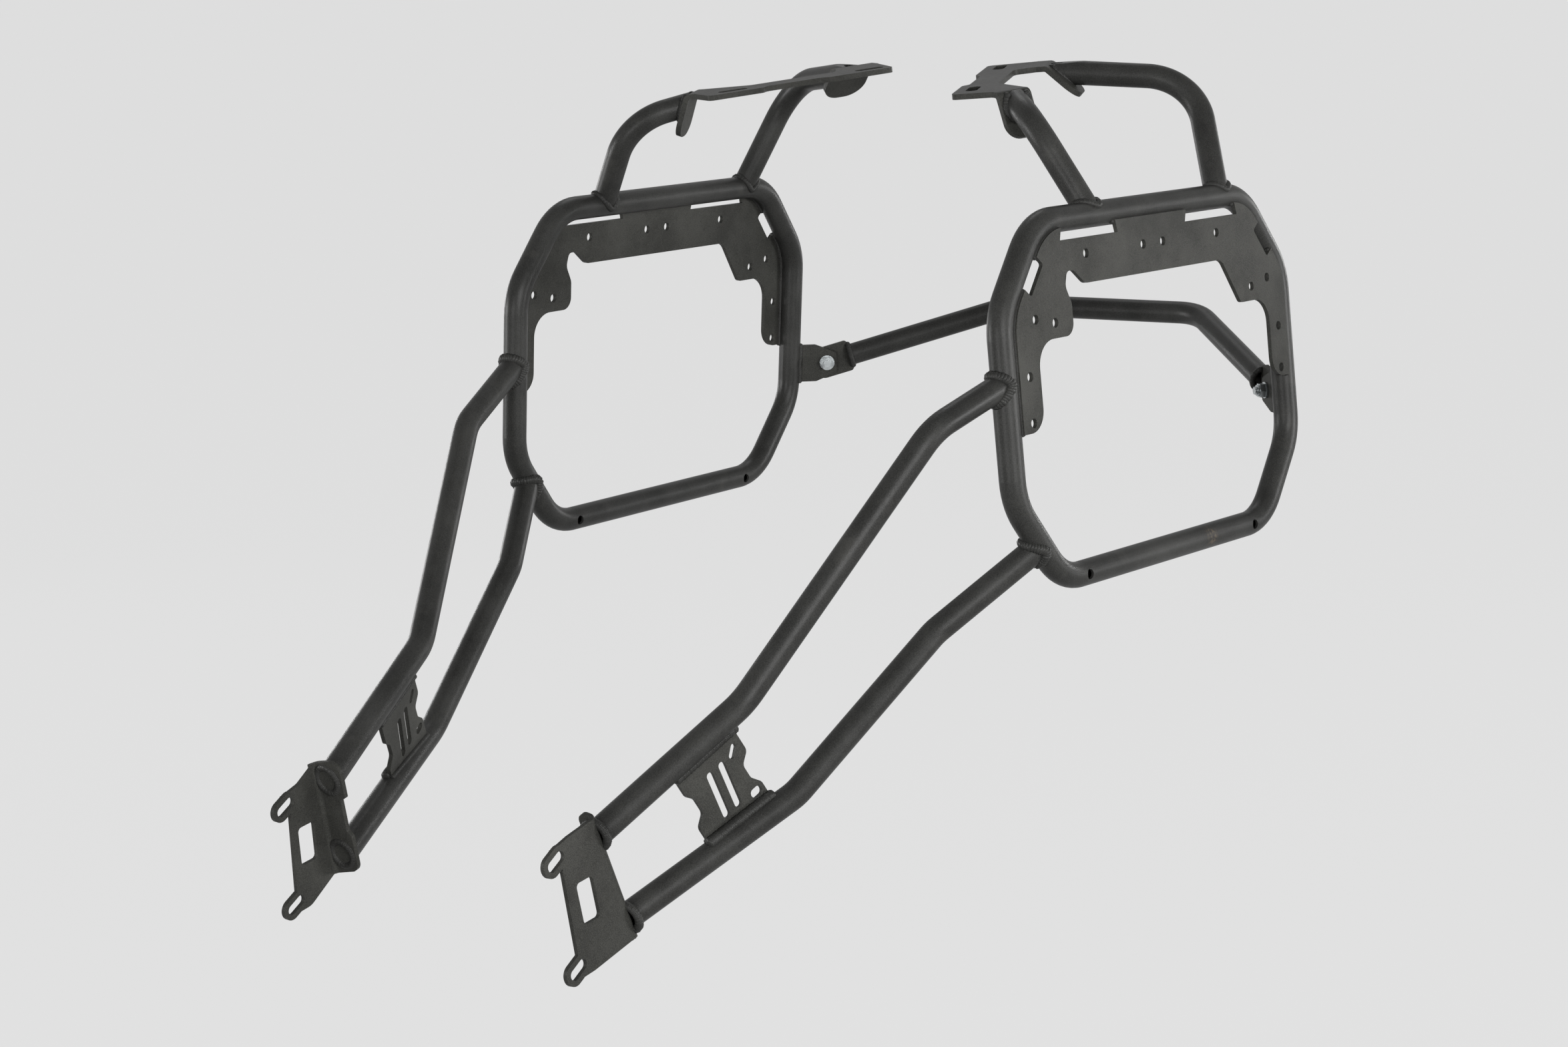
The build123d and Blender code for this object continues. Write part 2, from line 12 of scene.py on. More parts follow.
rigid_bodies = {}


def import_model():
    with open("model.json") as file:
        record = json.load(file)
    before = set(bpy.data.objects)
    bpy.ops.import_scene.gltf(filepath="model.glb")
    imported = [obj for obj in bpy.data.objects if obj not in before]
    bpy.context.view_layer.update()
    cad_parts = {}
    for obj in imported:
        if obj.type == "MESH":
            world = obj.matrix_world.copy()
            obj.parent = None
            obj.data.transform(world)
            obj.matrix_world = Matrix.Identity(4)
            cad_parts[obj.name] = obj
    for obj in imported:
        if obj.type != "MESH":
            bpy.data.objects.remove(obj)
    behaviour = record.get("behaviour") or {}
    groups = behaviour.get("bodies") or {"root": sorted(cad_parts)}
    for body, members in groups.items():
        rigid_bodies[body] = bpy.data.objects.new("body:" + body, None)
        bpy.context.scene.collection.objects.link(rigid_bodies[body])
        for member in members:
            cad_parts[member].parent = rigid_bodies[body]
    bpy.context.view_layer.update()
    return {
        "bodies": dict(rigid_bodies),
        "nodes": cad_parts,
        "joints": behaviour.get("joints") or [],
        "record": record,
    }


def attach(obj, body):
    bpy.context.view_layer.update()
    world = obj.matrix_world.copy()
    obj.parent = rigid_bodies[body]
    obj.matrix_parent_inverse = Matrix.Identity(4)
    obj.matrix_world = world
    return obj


LOG = logging.getLogger("pannier_frame")
MM = 0.001

Socket = bpy.types.NodeSocket
Triple = tuple[float, float, float]
Line = list[Vector]


class Side(Enum):
    """The two hands of the frame, with the sign of X on each."""

    LEFT = 1
    RIGHT = -1

    @property
    def tag(self) -> str:
        """Name ending of the nodes on this side."""
        return self.name.lower()

    def node(self, kind: str) -> str:
        """Name of this side's node of a kind."""
        return f"{kind}_{self.tag}"

    def turn(self, direction: Triple) -> Vector:
        """Direction given for the left side, as it points on this side."""
        return Vector((direction[0] * self.value, direction[1], direction[2])).normalized()


class SeamKind(Enum):
    """How the line of a weld is found on a piece."""

    RING = "all round the trimmed end of a tube"
    EDGE = "along the edge of a sheet"


class Graph:
    """Small helper that adds nodes to a tree and joins their sockets."""

    def __init__(self, tree: bpy.types.NodeTree) -> None:
        """Keeps the tree that the nodes go into."""
        self.tree = tree

    def feed(self, node: bpy.types.Node, inputs: dict[str | int, object]) -> None:
        """Sets inputs of a node.

        Args:
            node: The node.
            inputs: Values, or sockets to link from, by input name or index.
        """
        for key, value in inputs.items():
            if isinstance(value, Socket):
                self.tree.links.new(value, node.inputs[key])
            else:
                node.inputs[key].default_value = value

    def add(self, kind: str, inputs: dict[str | int, object] | None = None,
            **settings: object) -> bpy.types.Node:
        """Adds a node.

        Args:
            kind: Blender's name of the node type.
            inputs: Values, or sockets to link from, by input name or index.
            settings: Properties of the node itself.

        Returns:
            The new node.
        """
        node = self.tree.nodes.new(kind)
        for name, value in settings.items():
            setattr(node, name, value)
        self.feed(node, inputs or {})
        return node

    def math(self, operation: str, first: object, second: object, clamp: bool = False) -> Socket:
        """Adds a Math node.

        Args:
            operation: Its operation.
            first: First value or socket.
            second: Second value or socket.
            clamp: Whether the result is held between 0 and 1.

        Returns:
            Its result socket.
        """
        node = self.add("ShaderNodeMath", {0: first, 1: second}, operation=operation, use_clamp=clamp)
        return node.outputs[0]

    def ramp(self, value: Socket, low: float, high: float) -> Socket:
        """Smooth step of a value.

        Args:
            value: Socket to read.
            low: Value that gives 0.
            high: Value that gives 1.

        Returns:
            Socket from 0 to 1.
        """
        node = self.add("ShaderNodeMapRange", {"Value": value, "From Min": low, "From Max": high},
                        interpolation_type="SMOOTHSTEP")
        return node.outputs["Result"]

    def blend(self, factor: Socket, first: object, second: object) -> Socket:
        """Mixes two colours.

        Args:
            factor: Share of the second colour.
            first: Colour or socket.
            second: Colour or socket.

        Returns:
            The mixed colour's socket.
        """
        node = self.add("ShaderNodeMix", {0: factor, 6: first, 7: second}, data_type="RGBA")
        return node.outputs[2]


def opaque(colour: Triple) -> tuple[float, float, float, float]:
    """A colour with full alpha, as Blender's colour sockets take it."""
    return (*colour, 1.0)


def shader_group(name: str, inputs: dict[str, float],
                 outputs: tuple[str, ...]) -> tuple[Graph, dict[str, Socket], bpy.types.Node]:
    """Starts a shader node group with a coordinate input, number inputs and number outputs.

    Args:
        name: Name of the group.
        inputs: Number inputs with their usual values.
        outputs: Names of the outputs.

    Returns:
        The group's graph, its input sockets by name and its output node.
    """
    tree = bpy.data.node_groups.new(name, "ShaderNodeTree")
    tree.interface.new_socket("Place", in_out="INPUT", socket_type="NodeSocketVector")
    for label, value in inputs.items():
        socket = tree.interface.new_socket(label, in_out="INPUT", socket_type="NodeSocketFloat")
        socket.default_value = value
    for label in outputs:
        tree.interface.new_socket(label, in_out="OUTPUT", socket_type="NodeSocketFloat")
    graph = Graph(tree)
    start = graph.add("NodeGroupInput")
    end = graph.add("NodeGroupOutput")
    return graph, {socket.name: socket for socket in start.outputs if socket.name}, end


def build_coat_grain() -> bpy.types.NodeTree:
    """Fine orange-peel and grit of a coat, with slow clouds of tone.

    Returns:
        A group that gives a tone, a roughness offset and a bump height.
    """
    graph, given, end = shader_group(
        "coat_grain", {"Grit scale": 1500.0, "Peel scale": 260.0, "Peel share": 0.35, "Cloud scale": 22.0},
        ("Tone", "Rough", "Height"))
    grit_tone, cloud_tone = 0.55, 0.45
    middle = 0.5
    place = given["Place"]
    grit = graph.add("ShaderNodeTexNoise", {"Vector": place, "Scale": given["Grit scale"], "Detail": 2.0,
                                            "Roughness": 0.55})
    peel = graph.add("ShaderNodeTexNoise", {"Vector": place, "Scale": given["Peel scale"], "Detail": 3.0})
    cloud = graph.add("ShaderNodeTexNoise", {"Vector": place, "Scale": given["Cloud scale"], "Detail": 4.0,
                                             "Roughness": 0.6})
    tone = graph.math("ADD", graph.math("MULTIPLY", grit.outputs[0], grit_tone),
                      graph.math("MULTIPLY", cloud.outputs[0], cloud_tone))
    mean = graph.math("ADD", graph.math("MULTIPLY", peel.outputs[0], middle),
                      graph.math("MULTIPLY", cloud.outputs[0], middle))
    rough = graph.math("SUBTRACT", mean, middle)
    height = graph.math("ADD", grit.outputs[0], graph.math("MULTIPLY", peel.outputs[0], given["Peel share"]))
    graph.feed(end, {"Tone": tone, "Rough": rough, "Height": height})
    return graph.tree


def build_handling_marks() -> bpy.types.NodeTree:
    """Sparse dusty smudges and hair scratches from handling.

    Returns:
        A group that gives a smudge mask and a scratch mask.
    """
    graph, given, end = shader_group(
        "handling_marks", {"Smudge": 0.5, "Scratch": 0.3}, ("Smudge mask", "Scratch mask"))
    place = given["Place"]
    patch = graph.add("ShaderNodeTexNoise", {"Vector": place, "Scale": 34.0, "Detail": 5.0, "Roughness": 0.62,
                                             "Distortion": 0.4})
    stretch = graph.add("ShaderNodeMapping", {"Vector": place, "Rotation": (0.3, 0.2, 0.6),
                                              "Scale": (40.0, 900.0, 420.0)})
    hair = graph.add("ShaderNodeTexNoise", {"Vector": stretch.outputs[0], "Scale": 1.0, "Detail": 1.0})
    patches = graph.ramp(patch.outputs[0], low=0.56, high=0.74)
    hairs = graph.ramp(hair.outputs[0], low=0.72, high=0.80)
    graph.feed(end, {"Smudge mask": graph.math("MULTIPLY", patches, given["Smudge"], clamp=True),
                     "Scratch mask": graph.math("MULTIPLY", hairs, given["Scratch"], clamp=True)})
    return graph.tree


@dataclass(frozen=True)
class PowderCoat:
    """Matte black textured powder coat on steel, with a rubbed place where rub_at gives one."""

    name: str
    colour: Triple = (0.012, 0.012, 0.0114)
    pale: Triple = (0.029, 0.029, 0.0275)
    dust: Triple = (0.050, 0.049, 0.045)
    tone_range: tuple[float, float] = (0.34, 0.66)
    roughness: float = 0.38
    rough_swing: float = 0.22
    grit_scale: float = 1500.0
    peel_scale: float = 260.0
    relief: float = 0.09 * MM
    gloss: float = 0.09
    smudge: float = 0.28
    scratch: float = 0.12
    rub_at: Triple | None = None
    rub_radius: float = 10 * MM
    rub_core: float = 0.3
    rub_scale: float = 420.0
    rub_range: tuple[float, float] = (0.42, 0.68)
    rub_colour: Triple = (0.062, 0.049, 0.036)

    def build(self, groups: "FinishGroups") -> bpy.types.Material:
        """Makes the material.

        Args:
            groups: The shared shader groups.

        Returns:
            The finished material.
        """
        material, graph, place, shader = groups.start(self.name)
        grain = groups.use(graph, groups.grain, place, {"Grit scale": self.grit_scale,
                                                        "Peel scale": self.peel_scale})
        marks = groups.use(graph, groups.marks, place, {"Smudge": self.smudge, "Scratch": self.scratch})
        tone = graph.ramp(grain.outputs["Tone"], *self.tone_range)
        colour = graph.blend(tone, opaque(self.colour), opaque(self.pale))
        for mask in ("Smudge mask", "Scratch mask"):
            colour = graph.blend(marks.outputs[mask], colour, opaque(self.dust))
        if self.rub_at is not None:
            colour = graph.blend(self.rub_mask(graph, place), colour, opaque(self.rub_colour))
        swing = graph.math("MULTIPLY", grain.outputs["Rough"], self.rough_swing)
        bump = graph.add("ShaderNodeBump", {"Height": grain.outputs["Height"], "Strength": 1.0,
                                            "Distance": self.relief})
        graph.feed(shader, {"Base Color": colour, "Specular IOR Level": self.gloss,
                            "Roughness": graph.math("ADD", swing, self.roughness, clamp=True),
                            "Normal": bump.outputs[0]})
        return material

    def rub_mask(self, graph: Graph, place: Socket) -> Socket:
        """Soft ragged patch where the coat has been rubbed.

        Args:
            graph: The material's graph.
            place: Object coordinates.

        Returns:
            A mask socket.
        """
        gap = graph.add("ShaderNodeVectorMath", {0: place, 1: self.rub_at}, operation="DISTANCE")
        inside = graph.ramp(gap.outputs["Value"], self.rub_radius, self.rub_core * self.rub_radius)
        ragged = graph.add("ShaderNodeTexNoise", {"Vector": place, "Scale": self.rub_scale, "Detail": 4.0})
        return graph.math("MULTIPLY", inside, graph.ramp(ragged.outputs[0], *self.rub_range), clamp=True)


@dataclass(frozen=True)
class ZincPlate:
    """Zinc on a fastener, a little clouded."""

    name: str
    colour: Triple = (0.27, 0.285, 0.29)
    cloudy: Triple = (0.11, 0.118, 0.12)
    roughness: float = 0.34
    rough_swing: float = 0.35
    grit_scale: float = 2600.0
    peel_scale: float = 700.0
    relief: float = 0.03 * MM
    relief_strength: float = 0.6
    smudge: float = 0.7
    scratch: float = 0.4

    def build(self, groups: "FinishGroups") -> bpy.types.Material:
        """Makes the material.

        Args:
            groups: The shared shader groups.

        Returns:
            The finished material.
        """
        material, graph, place, shader = groups.start(self.name)
        grain = groups.use(graph, groups.grain, place, {"Grit scale": self.grit_scale,
                                                        "Peel scale": self.peel_scale})
        marks = groups.use(graph, groups.marks, place, {"Smudge": self.smudge, "Scratch": self.scratch})
        colour = graph.blend(marks.outputs["Smudge mask"], opaque(self.colour), opaque(self.cloudy))
        colour = graph.blend(marks.outputs["Scratch mask"], colour, opaque(self.cloudy))
        swing = graph.math("MULTIPLY", grain.outputs["Rough"], self.rough_swing)
        bump = graph.add("ShaderNodeBump", {"Height": grain.outputs["Height"], "Distance": self.relief,
                                            "Strength": self.relief_strength})
        graph.feed(shader, {"Base Color": colour, "Metallic": 1.0,
                            "Roughness": graph.math("ADD", swing, self.roughness, clamp=True),
                            "Normal": bump.outputs[0]})
        return material


@dataclass
class FinishGroups:
    """Shared shader groups, and the way that a material starts and uses them."""

    grain: bpy.types.NodeTree = field(default_factory=build_coat_grain)
    marks: bpy.types.NodeTree = field(default_factory=build_handling_marks)

    def start(self, name: str) -> tuple[bpy.types.Material, Graph, Socket, bpy.types.Node]:
        """Starts a material.

        Args:
            name: Name of the material.

        Returns:
            The material, its graph, its Object coordinates and its shader.
        """
        material = bpy.data.materials.new(name)
        material.use_nodes = True
        graph = Graph(material.node_tree)
        place = graph.add("ShaderNodeTexCoord").outputs["Object"]
        return material, graph, place, material.node_tree.nodes["Principled BSDF"]

    def use(self, graph: Graph, group: bpy.types.NodeTree, place: Socket,
            values: dict[str, float]) -> bpy.types.Node:
        """Places a group in a material.

        Args:
            graph: The material's graph.
            group: The group.
            place: Object coordinates.
            values: Values of its number inputs.

        Returns:
            The group's node.
        """
        return graph.add("ShaderNodeGroup", {"Place": place, **values}, node_tree=group)


@dataclass
class SeamFinder:
    """Reads the lines where welded pieces meet from the solids themselves."""

    nodes: dict[str, bpy.types.Object]
    merge_gap: float = 1e-6
    rim_angle: float = radians(32)
    edge_angle: float = radians(12)
    facing_share: float = 0.5
    same_face: float = 0.97
    normal_digits: int = 3
    shortest: float = 4 * MM
    seated: float = 0.5 * MM
    meshes: dict[str, bmesh.types.BMesh] = field(default_factory=dict, init=False)
    trees: dict[str, BVHTree] = field(default_factory=dict, init=False)

    def merged(self, name: str) -> bmesh.types.BMesh:
        """Copy of a solid's mesh with its loose triangles joined, made once.

        Args:
            name: The solid.

        Returns:
            The joined mesh.
        """
        if name not in self.meshes:
            mesh = bmesh.new()
            mesh.from_mesh(self.nodes[name].data)
            bmesh.ops.remove_doubles(mesh, verts=mesh.verts, dist=self.merge_gap)
            mesh.normal_update()
            self.meshes[name] = mesh
        return self.meshes[name]

    def surface(self, name: str) -> BVHTree:
        """Search tree of a solid's surface, made once.

        Args:
            name: The solid.

        Returns:
            The tree.
        """
        if name not in self.trees:
            self.trees[name] = BVHTree.FromBMesh(self.merged(name))
        return self.trees[name]

    def gap(self, name: str, point: Vector) -> float:
        """Distance from a point to a solid's surface."""
        return self.surface(name).find_nearest(point)[3]

    def chains(self, edges: list[bmesh.types.BMEdge]) -> list[Line]:
        """Orders loose edges into lines.

        Args:
            edges: The edges.

        Returns:
            One list of points for each line; a closed line repeats its first point.
        """
        left = set(edges)
        touching: dict[bmesh.types.BMVert, list[bmesh.types.BMEdge]] = {}
        for edge in edges:
            for vert in edge.verts:
                touching.setdefault(vert, []).append(edge)
        starts = [vert for vert, found in touching.items() if len(found) == 1] + list(touching)
        lines = []
        for vert in starts:
            line = [vert.co.copy()]
            while True:
                step = next((edge for edge in touching[vert] if edge in left), None)
                if step is None:
                    break
                left.discard(step)
                vert = step.other_vert(vert)
                line.append(vert.co.copy())
            if len(line) > 1:
                lines.append(line)
        return lines

    @staticmethod
    def length(line: Line) -> float:
        """Length of a line of points."""
        return sum((b - a).length for a, b in zip(line, line[1:]))

    def ring(self, tube: str, partner: str, reach: float) -> list[Line]:
        """Outer rim of a tube's end that stands on a partner.

        Args:
            tube: The tube.
            partner: What its end meets.
            reach: Largest mean distance of the rim from the partner.

        Returns:
            The longest rim found, in a list.
        """
        sharp = [edge for edge in self.merged(tube).edges if edge.calc_face_angle(0.0) > self.rim_angle]
        rims = []
        for line in self.chains(sharp):
            mean = sum(self.gap(partner, point) for point in line) / len(line)
            if mean < reach:
                rims.append(line)
        return sorted(rims, key=self.length)[-1:]

    def flat_normal(self, sheet: str, towards: Vector) -> Vector:
        """Normal of a sheet's largest flat face among those that look roughly one way.

        Args:
            sheet: The sheet.
            towards: The rough direction.

        Returns:
            The normal.
        """
        areas: dict[tuple[float, ...], float] = {}
        for face in self.merged(sheet).faces:
            if face.normal.dot(towards) > self.facing_share:
                key = tuple(round(part, self.normal_digits) for part in face.normal)
                areas[key] = areas.get(key, 0.0) + face.calc_area()
        return Vector(max(areas, key=areas.get)).normalized()

    def edge(self, sheet: str, partner: str, reach: float, facing: Vector, lift: float) -> list[Line]:
        """Edge of one face of a sheet that lies against a partner.

        Args:
            sheet: The sheet.
            partner: What the edge meets.
            reach: Largest distance of the edge from the partner.
            facing: Rough direction that the face looks in.
            lift: How far the weld's middle stands off the face.

        Returns:
            The lines found that are long enough to weld.
        """
        normal = self.flat_normal(sheet, facing)
        found = []
        for edge in self.merged(sheet).edges:
            if edge.calc_face_angle(0.0) < self.edge_angle:
                continue
            if max(face.normal.dot(normal) for face in edge.link_faces) < self.same_face:
                continue
            if all(self.gap(partner, vert.co) < reach for vert in edge.verts):
                found.append(edge)
        return [[point + normal * lift for point in line] for line in self.chains(found)
                if self.length(line) > self.shortest]

    def pressed(self, partner: str, lines: list[Line], depth: float) -> list[Line]:
        """Moves rims towards the face that they stand on, so that the weld fills the corner.

        Args:
            partner: What the rims stand on.
            lines: The rims.
            depth: How far they move.

        Returns:
            The moved rims.
        """
        moved = []
        for line in lines:
            steps = [self.surface(partner).find_nearest(point)[0] - point for point in line]
            near = [step for step in steps if step.length < self.seated]
            way = sum(near, Vector()).normalized() if near else Vector()
            moved.append([point + way * depth for point in line])
        return moved

    def under(self, sheet: str, lines: list[Line], depth: float) -> list[Line]:
        """Leaves out what would stand above a sheet's top face, which is dressed flush.

        Args:
            sheet: The sheet.
            lines: Weld lines beside it.
            depth: How far below the top face a line has to be.

        Returns:
            The parts of the lines that stay.
        """
        normal = self.flat_normal(sheet, Vector((0.0, 0.0, 1.0)))
        level = max(vert.co.dot(normal) for vert in self.merged(sheet).verts) - depth
        kept: list[Line] = [[]]
        for line in lines:
            for point in line:
                if point.dot(normal) < level:
                    kept[-1].append(point)
                elif kept[-1]:
                    kept.append([])
            kept.append([])
        return [line for line in kept if len(line) > 1]


@dataclass
class WeldBead:
    """Geometry Nodes tree that lays overlapping ripples along a seam."""

    material: bpy.types.Material
    segments: int = 10
    rings: int = 6
    thickness: float = 0.6
    uneven: tuple[float, float] = (0.95, 1.06)
    seed: int = 7
    tree: bpy.types.NodeTree = field(init=False)

    def __post_init__(self) -> None:
        """Builds the tree once."""
        self.tree = self.build()

    def build(self) -> bpy.types.NodeTree:
        """Makes the tree: even points on the seam, a flattened ripple on each, then one plain mesh.

        Returns:
            The tree, with inputs for bead radius, ripple pitch and ripple share.
        """
        tree = bpy.data.node_groups.new("weld_bead", "GeometryNodeTree")
        tree.interface.new_socket("Seam", in_out="INPUT", socket_type="NodeSocketGeometry")
        usual = {"Bead radius": 2 * MM, "Ripple pitch": 1.2 * MM, "Ripple share": self.thickness}
        for label, value in usual.items():
            socket = tree.interface.new_socket(label, in_out="INPUT", socket_type="NodeSocketFloat")
            socket.default_value = value
        tree.interface.new_socket("Bead", in_out="OUTPUT", socket_type="NodeSocketGeometry")
        graph = Graph(tree)
        given = graph.add("NodeGroupInput").outputs
        points = graph.add("GeometryNodeResampleCurve",
                           {"Curve": given["Seam"], "Length": given["Ripple pitch"]}, mode="LENGTH")
        ripple = graph.add("GeometryNodeMeshUVSphere", {"Segments": self.segments, "Rings": self.rings,
                                                        "Radius": 1.0})
        turn = graph.add("FunctionNodeAlignRotationToVector",
                         {"Vector": graph.add("GeometryNodeInputTangent").outputs[0]}, axis="Z")
        low, high = self.uneven
        uneven = graph.add("FunctionNodeRandomValue", {2: low, 3: high, "Seed": self.seed}, data_type="FLOAT")
        wide = graph.math("MULTIPLY", given["Bead radius"], uneven.outputs[1])
        thick = graph.math("MULTIPLY", given["Bead radius"], given["Ripple share"])
        scale = graph.add("ShaderNodeCombineXYZ", {0: wide, 1: wide, 2: thick})
        laid = graph.add("GeometryNodeInstanceOnPoints", {
            "Points": points.outputs[0], "Instance": ripple.outputs["Mesh"], "Rotation": turn.outputs[0],
            "Scale": scale.outputs[0]})
        plain = graph.add("GeometryNodeRealizeInstances", {0: laid.outputs[0]})
        smooth = graph.add("GeometryNodeSetShadeSmooth", {0: plain.outputs[0]})
        dressed = graph.add("GeometryNodeSetMaterial", {0: smooth.outputs[0], "Material": self.material})
        graph.add("NodeGroupOutput", {0: dressed.outputs[0]})
        return tree

    def lay(self, lines: list[Line], radius: float, pitch: float) -> bpy.types.Mesh:
        """Lays a bead along some lines.

        Args:
            lines: Points of each seam.
            radius: Bead radius.
            pitch: Distance between ripples.

        Returns:
            A plain mesh of the bead.
        """
        curve = bpy.data.curves.new("seam", "CURVE")
        curve.dimensions = "3D"
        for line in lines:
            spline = curve.splines.new("POLY")
            spline.points.add(len(line) - 1)
            for point, place in zip(spline.points, line):
                point.co = (*place, 1.0)
        seam = bpy.data.objects.new("seam", curve)
        bpy.context.scene.collection.objects.link(seam)
        modifier = seam.modifiers.new("bead", "NODES")
        modifier.node_group = self.tree
        sizes = {"Bead radius": radius, "Ripple pitch": pitch}
        for item in self.tree.interface.items_tree:
            if item.in_out == "INPUT" and item.name in sizes:
                modifier[item.identifier] = sizes[item.name]
        bpy.context.view_layer.update()
        mesh = bpy.data.meshes.new_from_object(seam.evaluated_get(bpy.context.evaluated_depsgraph_get()))
        bpy.data.objects.remove(seam)
        bpy.data.curves.remove(curve)
        return mesh


@dataclass(frozen=True)
class Seam:
    """One weld between two pieces of a side.

    Radius is the bead's, reach is how near the line has to be to the partner, and ripple is the pitch as a
    share of the radius. Facing and lift are for an edge, press and flush for a ring; flush is the share of
    the radius that stays below a sheet's top face.
    """

    piece: str
    partner: str
    kind: SeamKind
    radius: float
    reach: float
    facing: Triple | None = None
    lift: float = 0.0
    flush: float = 0.0
    press: float = 0.0
    ripple: float = 0.30

    def lines(self, finder: SeamFinder, side: Side) -> list[Line]:
        """Finds the seam's lines.

        Args:
            finder: Reader of the solids.
            side: The hand that the seam is on.

        Returns:
            The lines.
        """
        piece, partner = side.node(self.piece), side.node(self.partner)
        if self.kind is SeamKind.EDGE:
            return finder.edge(piece, partner, self.reach, side.turn(self.facing), self.lift)
        rim = finder.pressed(partner, finder.ring(piece, partner, self.reach), self.press)
        return finder.under(partner, rim, self.flush * self.radius) if self.flush else rim


def add_piece(name: str, mesh: bpy.types.Mesh) -> bpy.types.Object:
    """Puts a finished mesh in the scene as a piece of the frame.

    Args:
        name: Name of the piece.
        mesh: Its mesh, in place.

    Returns:
        The piece.
    """
    piece = bpy.data.objects.new(name, mesh)
    bpy.context.scene.collection.objects.link(piece)
    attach(piece, "root")
    LOG.info("%s: %d faces", name, len(mesh.polygons))
    return piece


def join_meshes(name: str, meshes: list[bpy.types.Mesh], material: bpy.types.Material) -> bpy.types.Mesh:
    """Joins meshes that share a material.

    Args:
        name: Name of the joined mesh.
        meshes: The meshes, which are used up.
        material: Their material.

    Returns:
        The joined mesh.
    """
    whole = bmesh.new()
    for mesh in meshes:
        whole.from_mesh(mesh)
        bpy.data.meshes.remove(mesh)
    joined = bpy.data.meshes.new(name)
    whole.to_mesh(joined)
    whole.free()
    joined.materials.append(material)
    for polygon in joined.polygons:
        polygon.material_index = 0
        polygon.use_smooth = True
    return joined


def paint(node: bpy.types.Object, material: bpy.types.Material) -> None:
    """Puts one material on a solid.

    Args:
        node: The solid's object.
        material: The material.
    """
    if not node.material_slots:
        node.data.materials.append(material)
    for slot in node.material_slots:
        slot.material = material
    LOG.info("%s: %s", node.name, material.name)


@dataclass
class SideFrame:
    """One welded side: hoop, plate, stays, top plate, arms, gusset, footrest bracket and lug.

    Directions are given for the left side.
    """

    side: Side
    stays: tuple[str, str] = ("front_stay", "rear_stay")
    arms: tuple[str, str] = ("upper_arm", "lower_arm")
    sheets: tuple[str, ...] = ("pannier_plate", "top_plate", "arm_gusset", "footrest_bracket", "brace_lug")
    tube_bead: float = 3.8 * MM
    flange_bead: float = 2.9 * MM
    flange_press: float = 1.8 * MM
    stay_bead: float = 2.5 * MM
    stay_end_bead: float = 3.2 * MM
    gusset_bead: float = 3.9 * MM
    gusset_lift: float = 1.5 * MM
    sheet_bead: float = 2.2 * MM
    cope_reach: float = 1.5 * MM
    tab_reach: float = 5 * MM
    flange_reach: float = 6 * MM
    edge_reach: float = 0.45 * MM
    flush_share: float = 0.8
    coarse: float = 0.44
    fine: float = 0.27
    plate_inner: Triple = (-0.9964, 0.0331, -0.0785)
    arm_plane: Triple = (0.939, -0.338, 0.069)
    lug_front: Triple = (-0.636, -0.772, 0.0)

    def seams(self) -> list[Seam]:
        """Lists the side's welds.

        Returns:
            The welds, tubes first.
        """
        ring, edge = SeamKind.RING, SeamKind.EDGE
        upper, lower = self.arms
        sheet, near = self.sheet_bead, self.edge_reach
        lug_rear = tuple(-part for part in self.lug_front)
        arm_inner = tuple(-part for part in self.arm_plane)
        return [
            *(Seam(stay, "hoop", ring, self.stay_bead, self.cope_reach) for stay in self.stays),
            *(Seam(stay, "top_plate", ring, self.stay_end_bead, self.tab_reach, flush=self.flush_share,
                   ripple=self.fine) for stay in self.stays),
            *(Seam(arm, "hoop", ring, self.tube_bead, self.cope_reach, ripple=self.coarse)
              for arm in self.arms),
            *(Seam(arm, "footrest_bracket", ring, self.flange_bead, self.flange_reach,
                   press=self.flange_press, ripple=self.fine) for arm in self.arms),
            Seam("pannier_plate", "hoop", edge, sheet, near, self.plate_inner),
            Seam("arm_gusset", upper, edge, self.gusset_bead, near, self.arm_plane, self.gusset_lift),
            Seam("arm_gusset", lower, edge, self.gusset_bead, near, self.arm_plane, self.gusset_lift,
                 ripple=self.fine),
            *(Seam("arm_gusset", arm, edge, sheet, near, arm_inner) for arm in self.arms),
            *(Seam("brace_lug", "hoop", edge, sheet, near, face) for face in (self.lug_front, lug_rear)),
        ]

    def dress(self, frame: dict, coats: dict[str, bpy.types.Material]) -> None:
        """Gives each solid of the side its coat.

        Args:
            frame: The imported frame.
            coats: Coats by node name, with "sheet" and "tube" for the rest.
        """
        tubes = ("hoop", *self.stays, *self.arms)
        for kind in tubes + self.sheets:
            name = self.side.node(kind)
            usual = coats["tube"] if kind in tubes else coats["sheet"]
            paint(frame["nodes"][name], coats.get(name, usual))

    def weld(self, finder: SeamFinder, bead: WeldBead) -> bpy.types.Object:
        """Lays all the beads of the side as one piece.

        Args:
            finder: Reader of the solids.
            bead: The bead's tree.

        Returns:
            The beads.
        """
        meshes = []
        for seam in self.seams():
            lines = seam.lines(finder, self.side)
            LOG.info("%s on %s %s: %d lines, %.0f mm", seam.piece, seam.partner, self.side.tag, len(lines),
                     sum(finder.length(line) for line in lines) / MM)
            if lines:
                meshes.append(bead.lay(lines, seam.radius, seam.radius * seam.ripple))
        name = self.side.node("welds")
        return add_piece(name, join_meshes(name, meshes, bead.material))


